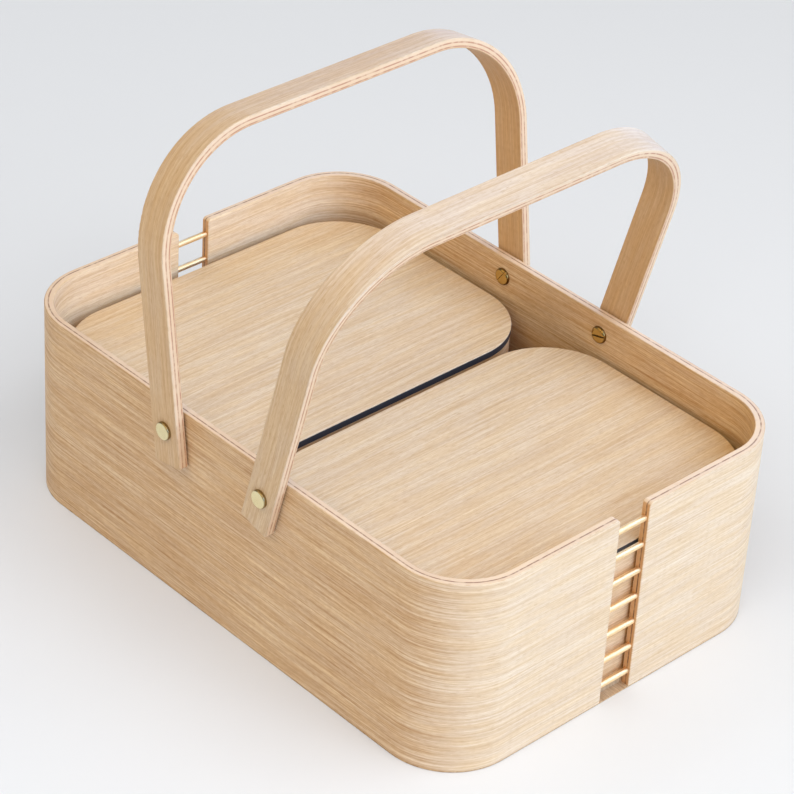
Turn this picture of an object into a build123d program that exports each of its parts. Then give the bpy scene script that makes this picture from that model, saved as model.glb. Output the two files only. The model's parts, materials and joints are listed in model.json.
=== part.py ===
"""Oak carrying box with two lidded trays, two swinging bail handles and brass rungs.

Millimetres, +Z up. The origin is the middle of the footprint, on the surface it stands on.
X runs along the length, Y across the width; the handles swing about axes along Y.
"""
from build123d import *
from math import cos, radians, sin
import os

# ---- driving dimensions -------------------------------------------------------------
box_length = 360.0
box_width = 250.0
box_height = 122.0
corner_radius = 41.0  # outside, seen from above
wall = 5.5  # two plies and the glue line between them

base_lip = 1.0  # sheet under the walls, flush with the outside
base_floor = 4.0  # height of the floor inside the walls
base_arris = 0.3

slot_width = 22.0  # open slot in the middle of each end
slot_corner = 2.5
rung_diameter = 3.5
rung_count = 7
rung_pitch = 16.9
rung_seat = 10.0  # how far a rung reaches into each wall end

pivot_x = 39.0
pivot_z = 109.5
barrel_diameter = 5.0
head_diameter = 10.6
head_edge = 0.9
post_head = 2.0
screw_head = 2.1
screw_diameter = 3.0
screw_reach = 9.0
screw_dome = 1.9
bore_end = 1.5  # room in the post's bore beyond the screw
driver_slot_width = 1.3
driver_slot_depth = 0.9
driver_slot_turns = {"left_front": 20.0, "left_rear": -56.0, "right_front": 70.0, "right_rear": -14.0}
washer_diameter = 13.0
washer_thickness = 1.0

handle_width = 20.5
handle_thickness = 5.8
handle_reach = 163.5  # pivot to the outside of the grip
handle_tail = 21.0  # pivot to the end of the leg
handle_bend = 66.0  # outside radius
tail_corner = 1.5
left_tilt = -8.0  # degrees from upright, + towards +X
right_tilt = 13.9

lid_length = 168.0
lid_width = 232.0
lid_corner = 43.0
lid_top = 96.0
veneer = 0.6
lid_board = 4.0
lip_depth = 4.0
lip_play = 0.4
tray_recess = 0.3  # the tray wall stands this far inside the lid's edge
tray_wall = 3.5
tray_bottom = 3.0
floor_recess = 0.5  # the bottom is let in above the wall's lower edge
lid_edge = 0.3
tray_centres = {"left": (-85.3, -0.3), "right": (89.3, 0.9)}

fit = 0.05  # radial clearance of a fixed pin in its hole
running_fit = 0.08  # radial clearance of a handle on its barrel
face_gap = 0.1  # between faces that slide or lift apart
soft_edge = 0.5  # broken edges of the wood

# ---- worked out from them -----------------------------------------------------------
rung_x = box_length / 2 - wall / 2
rung_heights = [box_height / 2 + rung_pitch * (i - (rung_count - 1) / 2) for i in range(rung_count)]
leg_inside = box_width / 2 + washer_thickness + face_gap
leg_outside = leg_inside + handle_thickness
post_seat = leg_outside + face_gap
inner_face = box_width / 2 - wall
board_bottom = lid_top - veneer - lid_board
tray_foot = base_floor + face_gap
pivots = {
    "left_front": (-pivot_x, -1),
    "left_rear": (-pivot_x, 1),
    "right_front": (pivot_x, -1),
    "right_rear": (pivot_x, 1),
}

os.makedirs("parts", exist_ok=True)


def finish(piece, name):
    """Label a finished piece and write it out."""
    piece.part.label = name
    export_step(piece.part, f"parts/{name}.step")
    print(f"{name:20s} {piece.part.volume / 1000:9.2f} cm3")


def facing(side, distance):
    """The upright plane at distance from the middle, facing out on side -1 (front) or +1 (rear).

    Its local x is the object's X times -side, and its local y is the object's Z.
    """
    return Plane(origin=(0, side * distance, 0), x_dir=(-side, 0, 0), z_dir=(0, side, 0))


# ---- basket: two bent half shells, the base and the rungs ------------------------------
def make_shell(side):
    """One C-shaped half of the wall: side is -1 in front, +1 behind."""
    with BuildPart() as shell:
        with BuildSketch(Plane.XY.offset(base_lip)):
            RectangleRounded(box_length, box_width, corner_radius)
            RectangleRounded(
                box_length - 2 * wall, box_width - 2 * wall, corner_radius - wall, mode=Mode.SUBTRACT
            )
            other_half = box_width / 2 + slot_width / 2
            with Locations((0, side * (slot_width / 2 - other_half / 2))):
                Rectangle(box_length, other_half, mode=Mode.SUBTRACT)
        extrude(amount=box_height - base_lip)
        top_face = shell.faces().filter_by(Axis.Z).sort_by(Axis.Z)[-1]
        slot_ends = top_face.edges().group_by(SortBy.LENGTH)[0]
        fillet(slot_ends, slot_corner)
        top_face = shell.faces().filter_by(Axis.Z).sort_by(Axis.Z)[-1]
        fillet(top_face.edges().filter_by(lambda edge: edge.length > 2 * wall), soft_edge)
        with BuildSketch(facing(-side, -slot_width / 2)):
            with Locations([(x, z) for x in (-rung_x, rung_x) for z in rung_heights]):
                Circle(rung_diameter / 2 + fit)
        extrude(amount=-rung_seat - face_gap, mode=Mode.SUBTRACT)
        with BuildSketch(facing(side, inner_face - wall)):
            with Locations([(x, pivot_z) for x in (-pivot_x, pivot_x)]):
                Circle(barrel_diameter / 2 + fit)
        extrude(amount=3 * wall, mode=Mode.SUBTRACT)
    return shell


for shell_name, shell_side in (("front_shell", -1), ("rear_shell", 1)):
    finish(make_shell(shell_side), shell_name)

with BuildPart() as base_panel:
    with BuildSketch():
        RectangleRounded(box_length, box_width, corner_radius)
    extrude(amount=base_lip)
    chamfer(base_panel.faces().sort_by(Axis.Z)[0].edges(), base_arris)
    with BuildSketch(Plane.XY.offset(base_lip)):
        inset = wall + face_gap
        RectangleRounded(box_length - 2 * inset, box_width - 2 * inset, corner_radius - inset)
    extrude(amount=base_floor - base_lip)
finish(base_panel, "base_panel")

for end_name, end_side in (("left", -1), ("right", 1)):
    for number, height in enumerate(rung_heights, start=1):
        with BuildPart() as rung:
            with BuildSketch(facing(1, -slot_width / 2 - rung_seat)):
                with Locations((-end_side * rung_x, height)):
                    Circle(rung_diameter / 2)
            extrude(amount=slot_width + 2 * rung_seat)
        finish(rung, f"{end_name}_rung_{number}")


# ---- handles: laminated bails, bent round two corners --------------------------------
def make_handle(pivot, tilt):
    """A bail on the axis at x = pivot, leaning by tilt degrees towards +X."""
    lean = radians(tilt)
    bail_plane = Plane(
        origin=(pivot, 0, pivot_z), x_dir=(0, 1, 0), z_dir=(cos(lean), 0, -sin(lean))
    )
    leg_plane = Plane(
        origin=(pivot, 0, pivot_z), x_dir=(cos(lean), 0, -sin(lean)), z_dir=(0, -1, 0)
    )
    hollow_reach = handle_reach - handle_thickness
    with BuildPart() as handle:
        with BuildSketch(bail_plane):
            with BuildSketch() as outline:
                with Locations((0, (handle_reach - handle_tail) / 2)):
                    Rectangle(2 * leg_outside, handle_reach + handle_tail)
                fillet(outline.vertices().group_by(Axis.Y)[-1], handle_bend)
            with BuildSketch(mode=Mode.SUBTRACT) as hollow:
                with Locations((0, (hollow_reach - handle_tail) / 2)):
                    Rectangle(2 * leg_inside, hollow_reach + handle_tail)
                fillet(hollow.vertices().group_by(Axis.Y)[-1], handle_bend - handle_thickness)
        extrude(amount=handle_width / 2, both=True)
        tail_ends = handle.edges().filter_by(Axis.Y).sort_by(Axis.Z)[:4]
        fillet(tail_ends, tail_corner)
        long_edges = handle.edges().filter_by(lambda edge: edge.length > handle_width)
        fillet(long_edges, soft_edge)
        with BuildSketch(leg_plane):
            Circle(barrel_diameter / 2 + running_fit)
        extrude(amount=2 * box_width, both=True, mode=Mode.SUBTRACT)
    return handle


finish(make_handle(-pivot_x, left_tilt), "left_handle")
finish(make_handle(pivot_x, right_tilt), "right_handle")

# ---- pivots: binding post outside, slotted screw inside, washer under the leg -----------
for pivot_name, (x, side) in pivots.items():
    place = (-side * x, pivot_z)
    slot_turn = driver_slot_turns[pivot_name]
    with BuildPart() as post:
        with BuildSketch(facing(side, post_seat)):
            with Locations(place):
                Circle(head_diameter / 2)
        extrude(amount=post_head)
        show_face = post.faces().filter_by(Axis.Y).sort_by(Axis.Y)[-1 if side > 0 else 0]
        fillet(show_face.edges(), head_edge)
        with BuildSketch(facing(side, post_seat)):
            with Locations(place):
                Circle(barrel_diameter / 2)
        extrude(amount=inner_face + face_gap - post_seat)
        with BuildSketch(facing(side, inner_face)):
            with Locations(place):
                Circle(screw_diameter / 2 + fit)
        extrude(amount=screw_reach + bore_end, mode=Mode.SUBTRACT)
    finish(post, f"post_{pivot_name}")

    with BuildPart() as screw:
        with BuildSketch(facing(side, inner_face)):
            with Locations(place):
                Circle(head_diameter / 2)
        extrude(amount=-screw_head)
        show_face = screw.faces().filter_by(Axis.Y).sort_by(Axis.Y)[0 if side > 0 else -1]
        fillet(show_face.edges(), screw_dome)
        with BuildSketch(facing(side, inner_face - screw_head)):
            with Locations(place):
                Rectangle(head_diameter + 1, driver_slot_width, rotation=slot_turn)
        extrude(amount=driver_slot_depth, mode=Mode.SUBTRACT)
        with BuildSketch(facing(side, inner_face)):
            with Locations(place):
                Circle(screw_diameter / 2)
        extrude(amount=screw_reach)
    finish(screw, f"screw_{pivot_name}")

    with BuildPart() as washer:
        with BuildSketch(facing(side, box_width / 2)):
            with Locations(place):
                Circle(washer_diameter / 2)
                Circle(barrel_diameter / 2 + 3 * fit, mode=Mode.SUBTRACT)
        extrude(amount=washer_thickness)
    finish(washer, f"washer_{pivot_name}")

# ---- trays and their lids ---------------------------------------------------------------
def make_slab(centre, inset, low, high, ring=0.0, broken=0.0):
    """A slab of the lid's outline, drawn in by inset, from height low to high.

    A ring width opens it to a bent wall, and broken rounds its upper outer edge.
    """
    with BuildPart() as slab:
        with BuildSketch(Plane.XY.offset(low)):
            with Locations(centre):
                RectangleRounded(lid_length - 2 * inset, lid_width - 2 * inset, lid_corner - inset)
        extrude(amount=high - low)
        if broken:
            fillet(slab.faces().sort_by(Axis.Z)[-1].edges(), broken)
        if ring:
            hole = inset + ring
            with BuildSketch(Plane.XY.offset(low)):
                with Locations(centre):
                    RectangleRounded(lid_length - 2 * hole, lid_width - 2 * hole, lid_corner - hole)
            extrude(amount=high - low, mode=Mode.SUBTRACT)
    return slab


wall_inset = tray_recess + tray_wall
for tray_name, centre in tray_centres.items():
    board_top = board_bottom + lid_board
    tray_side = make_slab(centre, tray_recess, tray_foot, board_bottom - face_gap, ring=tray_wall)
    finish(tray_side, f"{tray_name}_tray_wall")
    floor_low = tray_foot + floor_recess
    floor = make_slab(centre, wall_inset + fit, floor_low, floor_low + tray_bottom)
    finish(floor, f"{tray_name}_tray_bottom")
    finish(make_slab(centre, 0, board_bottom, board_top), f"{tray_name}_lid_board")
    finish(make_slab(centre, 0, board_top, lid_top, broken=lid_edge), f"{tray_name}_lid_veneer")
    lip = make_slab(centre, wall_inset + lip_play, board_bottom - lip_depth, board_bottom)
    finish(lip, f"{tray_name}_lid_lip")
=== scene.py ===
"""Looks of the oak carrying box with two lidded trays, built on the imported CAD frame.

Scene units are metres, in the frame of the CAD model: +X along the box, +Y towards the rear
wall, +Z up from the surface it stands on. The oak's shaders count in millimetres.
"""
import json
import math

import bpy
from mathutils import Matrix, Vector


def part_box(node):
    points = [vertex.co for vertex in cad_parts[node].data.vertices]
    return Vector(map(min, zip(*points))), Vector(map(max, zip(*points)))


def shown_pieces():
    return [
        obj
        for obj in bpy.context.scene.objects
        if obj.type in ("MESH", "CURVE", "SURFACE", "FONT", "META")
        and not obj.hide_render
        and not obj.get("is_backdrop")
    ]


MM = 1000.0  # millimetres in a metre
X, Y, Z = (1, 0, 0), (0, 1, 0), (0, 0, 1)

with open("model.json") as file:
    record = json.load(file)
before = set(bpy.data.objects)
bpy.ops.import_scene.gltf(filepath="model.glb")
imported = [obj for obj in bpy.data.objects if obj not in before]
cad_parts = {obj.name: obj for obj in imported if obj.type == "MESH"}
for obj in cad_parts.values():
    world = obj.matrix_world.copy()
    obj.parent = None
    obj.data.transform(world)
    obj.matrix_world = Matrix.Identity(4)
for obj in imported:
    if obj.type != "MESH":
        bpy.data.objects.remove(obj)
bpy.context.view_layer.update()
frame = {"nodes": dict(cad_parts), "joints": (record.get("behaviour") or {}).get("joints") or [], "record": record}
joints = {joint["name"]: joint for joint in frame["joints"]}
slots = {row["node"]: row["material_slot"] for row in frame["record"]["subparts"]}

# ---- sizes in millimetres: from the frame where it has them, else as in the CAD part -------
shell_low, shell_high = (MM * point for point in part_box("front_shell"))
HALF_LENGTH = shell_high.x
HALF_WIDTH = -shell_low.y
SLOT_HALF = -shell_high.y
CORNER = 41.0
WALL = 5.5

HANDLE_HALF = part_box("left_handle")[1].y * MM
HANDLE_BEND = 66.0
HANDLE_REACH = 163.5
HANDLE_THICK = 5.8
HANDLE_LEAN = {"left": -8.0, "right": 13.9}

# depth from the outer face at which plies meet
WALL_GLUE = 2.35
HANDLE_GLUE = (2.35, 4.65)
# depth over which the outer sheet's grain gives way to the inner sheet's
WALL_LINING_DEPTH = (2.3, 2.4)
HANDLE_LINING_DEPTH = (3.0, 3.2)


# ---- node building --------------------------------------------------------------------------
class Graph:
    """One material's node tree. Values may be numbers, tuples or output sockets."""

    def __init__(self, name):
        self.material = bpy.data.materials.new(name)
        self.material.use_nodes = True
        self.tree = self.material.node_tree
        self.tree.nodes.clear()

    def node(self, kind, inputs=(), **settings):
        made = self.tree.nodes.new("ShaderNode" + kind)
        for key, value in settings.items():
            setattr(made, key, value)
        for key, value in dict(inputs).items():
            self.feed(made.inputs[key], value)
        return made

    def feed(self, socket, value):
        if isinstance(value, bpy.types.NodeSocket):
            self.tree.links.new(value, socket)
        else:
            socket.default_value = value

    def math(self, operation, *values):
        made = self.node("Math", operation=operation)
        for index, value in enumerate(values):
            self.feed(made.inputs[index], value)
        return made.outputs[0]

    def times(self, first, second):
        return self.math("MULTIPLY", first, second)

    def place(self):
        """The point being shaded, in metres, in the piece's own frame."""
        return self.node("TexCoord").outputs["Object"]

    def scaled(self, vector, factors):
        return self.node("VectorMath", {0: vector, 1: factors}, operation="MULTIPLY").outputs[0]

    def dot(self, vector, direction):
        made = self.node("VectorMath", {0: vector, 1: direction}, operation="DOT_PRODUCT")
        return made.outputs["Value"]

    def combine(self, x, y, z):
        return self.node("CombineXYZ", {"X": x, "Y": y, "Z": z}).outputs[0]

    def span(self, value, low, high, to_low=0.0, to_high=1.0):
        """Value mapped smoothly from low..high to to_low..to_high."""
        made = self.node("MapRange", interpolation_type="SMOOTHSTEP")
        for key, given in zip(("Value", "From Min", "From Max", "To Min", "To Max"),
                              (value, low, high, to_low, to_high)):
            self.feed(made.inputs[key], given)
        return made.outputs[0]

    def noise(self, vector, detail=2.0, roughness=0.5):
        inputs = {"Vector": vector, "Scale": 1.0, "Detail": detail, "Roughness": roughness}
        return self.node("TexNoise", inputs).outputs[0]

    def mix(self, factor, first, second, blend="MIX"):
        made = self.node("Mix", data_type="RGBA", blend_type=blend)
        for index, value in ((0, factor), (6, first), (7, second)):
            self.feed(made.inputs[index], value)
        return made.outputs[2]

    def tint(self, face, tone, amount=1.0):
        """Face multiplied by tone where amount is 1."""
        return self.mix(amount, face, tone, "MULTIPLY")

    def finish(self, inputs, height, distance, strength):
        """Principled shader with a bump of the height pattern; distance is in metres."""
        shader = self.node("BsdfPrincipled", inputs)
        bump = self.node("Bump", {"Strength": strength, "Distance": distance, "Height": height})
        self.feed(shader.inputs["Normal"], bump.outputs[0])
        output = self.node("OutputMaterial")
        self.feed(output.inputs["Surface"], shader.outputs[0])
        return self.material


def colour(red, green, blue):
    """An sRGB colour given as 0..255 numbers, as linear RGBA."""
    def linear(level):
        level /= 255.0
        return level / 12.92 if level <= 0.04045 else ((level + 0.055) / 1.055) ** 2.4
    return (linear(red), linear(green), linear(blue), 1.0)


# ---- oak ------------------------------------------------------------------------------------
VENEER = {"pale": colour(250, 229, 194), "deep": colour(186, 139, 88)}
BOARD = {"pale": colour(219, 188, 145), "deep": colour(150, 108, 68)}
WALL_PLY = colour(230, 201, 166)
WALL_GLUE_TONE = colour(138, 90, 62)
SLOT_END_GRAIN_AND_SHADE = colour(208, 152, 98)  # the wall's darker end grain on the faces of the slots, deepened with painted shade
# the glue line in the slots, darkened with the same painted shade
SLOT_GLUE_AND_SHADE = colour(88, 56, 36)
# the handle plies' own colour, made more orange to stand in too for painted shade and warm bounce light on the
# legs' edges below the rim
HANDLE_PLY_AND_SHADE = colour(232, 198, 156)
HANDLE_GLUE_TONE = colour(176, 108, 74)

# tones that multiply the veneer's colour
GOLDEN = (1.0, 0.965, 0.885, 1.0)
LID_TONE = (0.985, 1.02, 1.03, 1.0)
TRAY_TONE = (1.0, 0.91, 0.79, 1.0)
# painted shade: the long sides, front and rear, are darker than the lit ends
LONG_SIDE_SHADE = (0.92, 0.90, 0.91, 1.0)
# painted light: the inner face at the ends is brightened where the light from the right falls on it
END_LINING_LIGHT = (1.18, 1.20, 1.19, 1.0)
HANDLE_TONE = {"left": (0.91, 0.92, 0.96, 1.0), "right": (0.92, 0.97, 1.08, 1.0)}
# painted shade: the handles' inner faces, unlit on the rear legs, darker and warmer
HANDLE_LINING_SHADE = (0.95, 0.84, 0.70, 1.0)

GRAIN = (  # width and length of the streaks in mm, and how strongly they tell
    (0.4, 9.0, 0.30),
    (0.8, 4.0, 0.38),
    (0.9, 60.0, 1.30),
    (1.6, 10.0, 0.25),
    (1.7, 90.0, 0.36),
    (2.8, 16.0, 0.14),
    (3.0, 140.0, 0.14),
    (6.0, 150.0, 0.20),
    (14.0, 200.0, 0.20),
)
SWAY = (60.0, 220.0)  # width and length of the slow bends in the lines
SWAY_REACH = 5.0  # mm
HUE = (5.0, 30.0)  # width and length of the golden patches
HUE_LEVELS = (0.36, 0.64)
FINE = (0.4, 9.0)
FINE_LEVELS = (0.35, 0.65)
FINE_DEPTH = -0.4  # share of the bump's distance
PORE = (0.2, 4.5)
PORE_LEVELS = (0.60, 0.70)
PORE_DEPTH = -0.6
PORE_DARKNESS = 0.4

CONTRAST = {"lit_wall_end": 0.48, "lid": 0.46, "tray": 0.7, "handle": 0.45}  # 1 on long sides; the wall ends' fainter grain is painted light, bright light washing the grain out
LACQUER_ROUGHNESS = (0.47, 0.56)
LACQUER_SPECULAR = 0.42
GRAIN_BUMP = (0.00006, 0.6)  # distance in metres, strength

# where each sheet starts in the noise, in mm, so that no two sheets share their lines
SHEET = {
    "wall": 40.0, "lid": 300.0, "board": 500.0, "tray": 700.0, "left": 900.0, "right": 1200.0,
}
WALL_LINING_SHIFT = 173.0
HALF_SHELL_SHIFT = 61.0
HANDLE_LINING_SHIFT = 97.0

PLY_START, PLY_FULL = 0.3, 0.7  # depth at which an edge turns from face veneer to ply
PLY_AMOUNT = 0.75
SLOT_START, SLOT_FULL = 0.6, 0.1  # distance behind a slot's face where its darker end grain and painted shade show
LIT_END_REACH = 0.75  # how far round the corner the painted light of the ends reaches: brighter inner face, fainter grain

# a glue line: half its thickness in mm, how strongly it tells
WALL_GLUE_LINE = (0.22, 0.85)
HANDLE_GLUE_LINE = (0.24, 0.78)
GLUE_FADE = 0.3
GLUE_WANDER = 0.9  # of half its thickness
GLUE_WANDER_SCALE = 0.07  # per mm
GLUE_PATCH_SCALE = 0.22  # per mm
GLUE_PATCH_LEVELS = (0.32, 0.58)
GLUE_FAINTEST = 0.35


class Oak(Graph):
    """Straight-grained oak veneer.

    across is the direction the grain lines are counted in; along and third complete the frame.
    """

    def __init__(self, name, across, along, third, sheet):
        super().__init__(name)
        self.point = self.scaled(self.place(), (MM, MM, MM))
        self.across = self.math("ADD", self.dot(self.point, across), SHEET[sheet])
        self.along = self.dot(self.point, along)
        self.third = self.dot(self.point, third)

    def streaks(self, width, length, detail=1.0):
        """Noise drawn out along the grain: width and length are one feature's size in mm."""
        return self.noise(self.combine(
            self.math("DIVIDE", self.across, width),
            self.math("DIVIDE", self.along, length),
            self.math("DIVIDE", self.third, length),
        ), detail)

    def centred(self, pattern):
        return self.math("SUBTRACT", pattern, 0.5)

    def shift(self, amount):
        """Moves the grain lines sideways by amount, a socket in mm."""
        self.across = self.math("ADD", self.across, amount)

    def paint(self, look, contrast=1.0):
        """The face colour of the veneer, its bump height and its roughness."""
        self.shift(self.times(self.centred(self.streaks(*SWAY)), SWAY_REACH))
        tone = 0.5
        for width, length, strength in GRAIN:
            line = self.centred(self.streaks(width, length))
            tone = self.math("MULTIPLY_ADD", line, self.times(contrast, strength), tone)
        face = self.mix(tone, look["deep"], look["pale"])
        face = self.tint(face, GOLDEN, self.span(self.streaks(*HUE), *HUE_LEVELS))
        fine = self.streaks(*FINE)
        pores = self.span(self.streaks(*PORE, detail=0.0), *PORE_LEVELS)
        face = self.mix(self.times(pores, PORE_DARKNESS), face, look["deep"])
        height = self.math("ADD", self.times(pores, PORE_DEPTH), self.times(fine, FINE_DEPTH))
        rough = self.span(fine, *FINE_LEVELS, *LACQUER_ROUGHNESS)
        return face, height, rough

    def rounded_depth(self, u, v, half_u, half_v, radius):
        """Depth in mm inside a rounded rectangle with half sizes half_u and half_v."""
        past_u = self.math("SUBTRACT", self.math("ABSOLUTE", u), half_u - radius)
        past_v = self.math("SUBTRACT", v, half_v - radius)
        beyond = self.combine(
            self.math("MAXIMUM", past_u, 0.0), self.math("MAXIMUM", past_v, 0.0), 0.0)
        outside = self.node("VectorMath", {0: beyond}, operation="LENGTH").outputs["Value"]
        inside = self.math("MINIMUM", self.math("MAXIMUM", past_u, past_v), 0.0)
        return self.math("SUBTRACT", radius, self.math("ADD", outside, inside))

    def plies(self, face, depth, thickness, ply):
        """Shows the plies on the edges of a bent strip: between its two face veneers."""
        from_outside = self.span(depth, PLY_START, PLY_FULL)
        from_inside = self.span(depth, thickness - PLY_FULL, thickness - PLY_START, 1.0, 0.0)
        core = self.times(from_outside, from_inside)
        return self.mix(self.times(core, PLY_AMOUNT), face, ply)

    def glue_line(self, face, depth, centre, tone, half, strength):
        """A glue line between two plies, uneven in place and darkness."""
        drift = self.noise(self.scaled(self.point, (GLUE_WANDER_SCALE,) * 3), 3.0, 0.7)
        patches = self.noise(self.scaled(self.point, (GLUE_PATCH_SCALE,) * 3), 2.0, 0.6)
        patchy = self.span(patches, *GLUE_PATCH_LEVELS, GLUE_FAINTEST, 1.0)
        placed = self.math("MULTIPLY_ADD", self.centred(drift), GLUE_WANDER * half, depth)
        off = self.math("ABSOLUTE", self.math("SUBTRACT", placed, centre))
        line = self.times(self.span(off, half, half + GLUE_FADE, 1.0, 0.0), patchy)
        return self.mix(self.times(line, strength), face, tone)

    def lacquered(self, face, height, rough):
        inputs = {"Base Color": face, "Roughness": rough, "Specular IOR Level": LACQUER_SPECULAR}
        return self.finish(inputs, height, *GRAIN_BUMP)


def wall_oak():
    """Both wall halves: painted light round the ends (brighter inner face, fainter grain) and painted shade on the
    long sides, plies on the rim and, darker with painted shade, in the slots.
    """
    oak = Oak("Wall_Oak", Z, X, Y, "wall")
    along_x = oak.dot(oak.point, X)
    from_middle = oak.math("ABSOLUTE", oak.dot(oak.point, Y))
    depth = oak.rounded_depth(along_x, from_middle, HALF_LENGTH, HALF_WIDTH, CORNER)
    inner = oak.span(depth, *WALL_LINING_DEPTH)
    oak.shift(oak.times(inner, WALL_LINING_SHIFT))
    oak.shift(oak.times(oak.math("SIGN", oak.third), HALF_SHELL_SHIFT))

    # the ends carry painted light: fainter grain, and a brighter inner face
    end_start = HALF_LENGTH - LIT_END_REACH * CORNER
    ends = oak.span(oak.math("ABSOLUTE", along_x), end_start, HALF_LENGTH)
    face, height, rough = oak.paint(VENEER, oak.span(ends, 0.0, 1.0, 1.0, CONTRAST["lit_wall_end"]))
    # painted shade darkens the long sides
    face = oak.tint(face, LONG_SIDE_SHADE, oak.math("SUBTRACT", 1.0, ends))
    # painted light on the inner face at the ends
    face = oak.tint(face, END_LINING_LIGHT, oak.times(ends, inner))

    # the slots' faces: darker end grain, partly painted shade
    slot_face = oak.span(from_middle, SLOT_HALF + SLOT_FULL, SLOT_HALF + SLOT_START, 1.0, 0.0)
    face = oak.plies(face, depth, WALL, oak.mix(slot_face, WALL_PLY, SLOT_END_GRAIN_AND_SHADE))
    glue = oak.mix(slot_face, WALL_GLUE_TONE, SLOT_GLUE_AND_SHADE)
    face = oak.glue_line(face, depth, WALL_GLUE, glue, *WALL_GLUE_LINE)
    return oak.lacquered(face, height, rough)


def lid_oak():
    oak = Oak("Lid_Oak", X, Y, Z, "lid")
    face, height, rough = oak.paint(VENEER, CONTRAST["lid"])
    return oak.lacquered(oak.tint(face, LID_TONE), height, rough)


def tray_oak():
    oak = Oak("Tray_Oak", Z, X, Y, "tray")
    face, height, rough = oak.paint(VENEER, CONTRAST["tray"])
    return oak.lacquered(oak.tint(face, TRAY_TONE), height, rough)


def base_oak():
    oak = Oak("Board_Oak", Y, X, Z, "board")
    return oak.lacquered(*oak.paint(BOARD))


def handle_oak(side):
    """A bent three-ply strip, with its depth measured in the plane the handle leans in."""
    lean = math.radians(HANDLE_LEAN[side])
    across = (math.cos(lean), 0, -math.sin(lean))
    up = (math.sin(lean), 0, math.cos(lean))
    oak = Oak(f"{side.title()}_Handle_Oak", across, up, Y, side)
    pivot = Vector(joints[f"{side}_handle_swing"]["pos_m"]) * MM
    rise = oak.math("SUBTRACT", oak.along, Vector(up).dot(pivot))
    depth = oak.rounded_depth(oak.third, rise, HANDLE_HALF, HANDLE_REACH, HANDLE_BEND)
    lining = oak.span(depth, *HANDLE_LINING_DEPTH)
    oak.shift(oak.times(lining, HANDLE_LINING_SHIFT))

    face, height, rough = oak.paint(VENEER, CONTRAST["handle"])
    face = oak.tint(face, HANDLE_TONE[side])
    # painted shade on the handle's inner face
    face = oak.tint(face, HANDLE_LINING_SHADE, lining)
    face = oak.plies(face, depth, HANDLE_THICK, HANDLE_PLY_AND_SHADE)
    for line_depth in HANDLE_GLUE:
        face = oak.glue_line(face, depth, line_depth, HANDLE_GLUE_TONE, *HANDLE_GLUE_LINE)
    return oak.lacquered(face, height, rough)


# ---- other materials ------------------------------------------------------------------------
# how many features to a metre along X, Y and Z
BOARD_FIBRES = (900.0, 60.0, 2500.0)
POLISH_MARKS = (400.0, 400.0, 400.0)
DRAWN_MARKS = (300.0, 40.0, 300.0)  # long marks along the rungs
BRASS_CLOUDS = (160.0, 160.0, 160.0)

# colour of the painted dark reflection on the sides of the round heads
PAINTED_RIM_REFLECTION = colour(118, 92, 52)


def black_board():
    board = Graph("Black_Board")
    grain = board.noise(board.scaled(board.place(), BOARD_FIBRES))
    face = board.mix(grain, colour(40, 40, 42), colour(58, 57, 60))
    rough = board.span(grain, 0.3, 0.7, 0.45, 0.6)
    return board.finish({"Base Color": face, "Roughness": rough}, grain, 0.00003, 0.5)


def brass(name, bright, dull, roughness, marking, rim_reflection=0.0):
    """Brass with fine marks; a painted dark reflection darkens the sides of the round heads."""
    metal = Graph(name)
    point = metal.place()
    marks = metal.noise(metal.scaled(point, marking), 3.0)
    cloud = metal.noise(metal.scaled(point, BRASS_CLOUDS))
    face = metal.mix(cloud, bright, dull)
    # painted reflection: the heads' sides darkened as if mirroring the dark inside of the box
    if rim_reflection:
        normal = metal.node("NewGeometry").outputs["Normal"]
        flat = metal.math("ABSOLUTE", metal.dot(normal, Y))
        side = metal.times(metal.span(flat, 0.55, 0.95, 1.0, 0.0), rim_reflection)
        face = metal.mix(side, face, PAINTED_RIM_REFLECTION)
    rough = metal.span(marks, 0.3, 0.7, *roughness)
    inputs = {"Base Color": face, "Metallic": 1.0, "Roughness": rough}
    return metal.finish(inputs, marks, 0.00001, 0.4)


materials = {
    "wall_oak": wall_oak(),
    "lid_oak": lid_oak(),
    "tray_oak": tray_oak(),
    "base_board": base_oak(),
    "left_handle": handle_oak("left"),
    "right_handle": handle_oak("right"),
    "black_board": black_board(),
    "rung": brass(
        "Brass_Rung", colour(255, 228, 182), colour(252, 212, 150), (0.42, 0.54), DRAWN_MARKS
    ),
    "post": brass(
        "Brass_Post", colour(240, 228, 184), colour(228, 212, 160), (0.16, 0.26), POLISH_MARKS, 0.75
    ),
    "screw": brass(
        "Brass_Screw", colour(208, 174, 106), colour(184, 148, 82), (0.12, 0.22), POLISH_MARKS, 0.85
    ),
}


def material_of(node_name):
    slot = slots[node_name]
    if slot == "handle_oak":
        return materials[node_name]
    if slot == "brass":
        kind = next((kind for kind in ("rung", "screw") if kind in node_name), "post")
        return materials[kind]
    return materials[slot]


for node_name, node in frame["nodes"].items():
    node.data.materials.clear()
    node.data.materials.append(material_of(node_name))

# ---- floor, light and camera ----------------------------------------------------------------
FLOOR_HALF = 6.0
FLOOR_COLOUR = (0.76, 0.775, 0.80, 1)
ROOM_STRENGTH = 0.28

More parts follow.
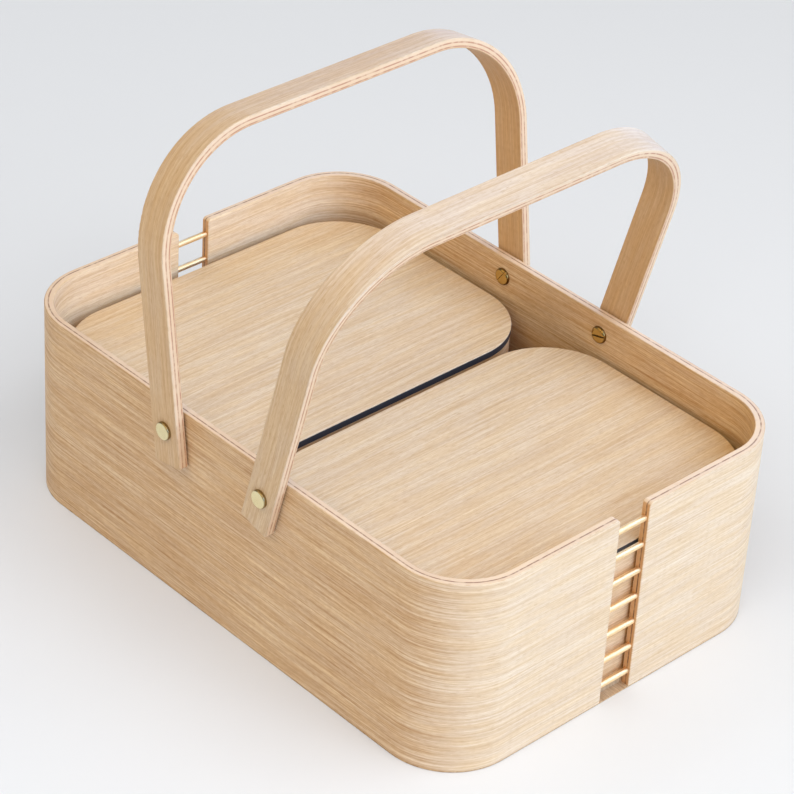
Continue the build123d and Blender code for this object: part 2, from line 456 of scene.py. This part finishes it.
WINDOW = (0.418, 0.614, 1.0)  # daylight from the right and behind
ROOM = (1.0, 0.748, 0.360)  # light thrown back by the room
PLAIN = (1.0, 1.0, 1.0)
BOX_LIGHTS = (  # azimuth and elevation in degrees, power in watts, tint
    (0, 20, 56.0, WINDOW),
    (30, 50, 46.6, WINDOW),
    (120, 20, 30.0, WINDOW),
    (60, 50, 10.2, ROOM),
    (240, 50, 12.3, ROOM),
    (300, 50, 18.4, ROOM),
)
FLOOR_LIGHTS = (
    (0, 20, 20.0, PLAIN),
    (30, 50, 24.0, PLAIN),
    (120, 20, 4.0, PLAIN),
    (180, 50, 8.0, PLAIN),
    (240, 50, 10.0, PLAIN),
    (300, 50, 24.0, PLAIN),
)
SOFTBOX_SIZE = 1.8
SOFTBOX_DISTANCE = 2.4
LIGHT_AIM = Vector((0, 0, 0.05))

CAMERA_AZIMUTH = 45.235  # degrees from the front towards the right end
CAMERA_ELEVATION = 34.188
CAMERA_ROLL = 3.756
CAMERA_AIM = Vector((-0.05718, 0.05787, 0.04115))
CAMERA_DISTANCE = 1.8076
CAMERA_LENS = 140.75  # focal length in mm
CAMERA_SENSOR = 36.0


def add_to_scene(name, data):
    made = bpy.data.objects.new(name, data)
    bpy.context.scene.collection.objects.link(made)
    return made


def collect(name, objects):
    """A collection holding these objects as well as where they already are."""
    group = bpy.data.collections.new(name)
    bpy.context.scene.collection.children.link(group)
    for item in objects:
        group.objects.link(item)
    return group


def make_floor():
    mesh = bpy.data.meshes.new("floor")
    corners = [(x * FLOOR_HALF, y * FLOOR_HALF, 0) for x, y in ((-1, -1), (1, -1), (1, 1), (-1, 1))]
    mesh.from_pydata(corners, [], [(0, 1, 2, 3)])
    floor = add_to_scene("floor", mesh)
    look = Graph("Floor")
    shader = look.node("BsdfPrincipled", {"Base Color": FLOOR_COLOUR, "Roughness": 0.8})
    look.feed(look.node("OutputMaterial").inputs["Surface"], shader.outputs[0])
    mesh.materials.append(look.material)
    floor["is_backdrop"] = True
    return floor


def softbox(name, azimuth, elevation, power, tint, receivers):
    """A square soft light aimed at the box, lighting only the collection receivers.

    Azimuth is counted from +X towards +Y, in degrees.
    """
    turn, rise = math.radians(azimuth), math.radians(elevation)
    level = math.cos(rise)
    away = Vector((level * math.cos(turn), level * math.sin(turn), math.sin(rise)))
    data = bpy.data.lights.new(name, "AREA")
    data.shape = "SQUARE"
    data.size = SOFTBOX_SIZE
    data.energy = power
    data.color = tint
    lamp = add_to_scene(name, data)
    lamp.location = away * SOFTBOX_DISTANCE
    lamp.rotation_mode = "QUATERNION"
    lamp.rotation_quaternion = (LIGHT_AIM - lamp.location).to_track_quat("-Z", "Y")
    lamp.light_linking.receiver_collection = receivers


def make_world():
    world = bpy.data.worlds.new("Studio")
    world.use_nodes = True
    sky = world.node_tree.nodes["Background"]
    sky.inputs["Color"].default_value = (*PLAIN, 1)
    sky.inputs["Strength"].default_value = ROOM_STRENGTH
    bpy.context.scene.world = world


def make_camera():
    azimuth, elevation = math.radians(CAMERA_AZIMUTH), math.radians(CAMERA_ELEVATION)
    roll = math.radians(CAMERA_ROLL)
    back = Vector((
        math.sin(azimuth) * math.cos(elevation),
        -math.cos(azimuth) * math.cos(elevation),
        math.sin(elevation),
    ))
    level_right = Vector((math.cos(azimuth), math.sin(azimuth), 0))
    level_up = back.cross(level_right)
    right = level_right * math.cos(roll) + level_up * math.sin(roll)
    up = level_up * math.cos(roll) - level_right * math.sin(roll)
    data = bpy.data.cameras.new("Camera")
    data.lens = CAMERA_LENS
    data.sensor_width = CAMERA_SENSOR
    data.clip_start, data.clip_end = 0.05, 50.0
    camera = add_to_scene("Camera", data)
    turned = Matrix((right, up, back)).transposed().to_4x4()
    camera.matrix_world = Matrix.Translation(CAMERA_AIM + back * CAMERA_DISTANCE) @ turned
    bpy.context.scene.camera = camera


floor_group = collect("Floor_Lit", [make_floor()])
box_group = collect("Box_Lit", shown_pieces())
make_world()
for group, rig in ((box_group, BOX_LIGHTS), (floor_group, FLOOR_LIGHTS)):
    for number, (azimuth, elevation, power, tint) in enumerate(rig, start=1):
        softbox(f"{group.name}_{number}", azimuth, elevation, power, tint, group)
make_camera()
bpy.context.scene.view_settings.view_transform = "Standard"
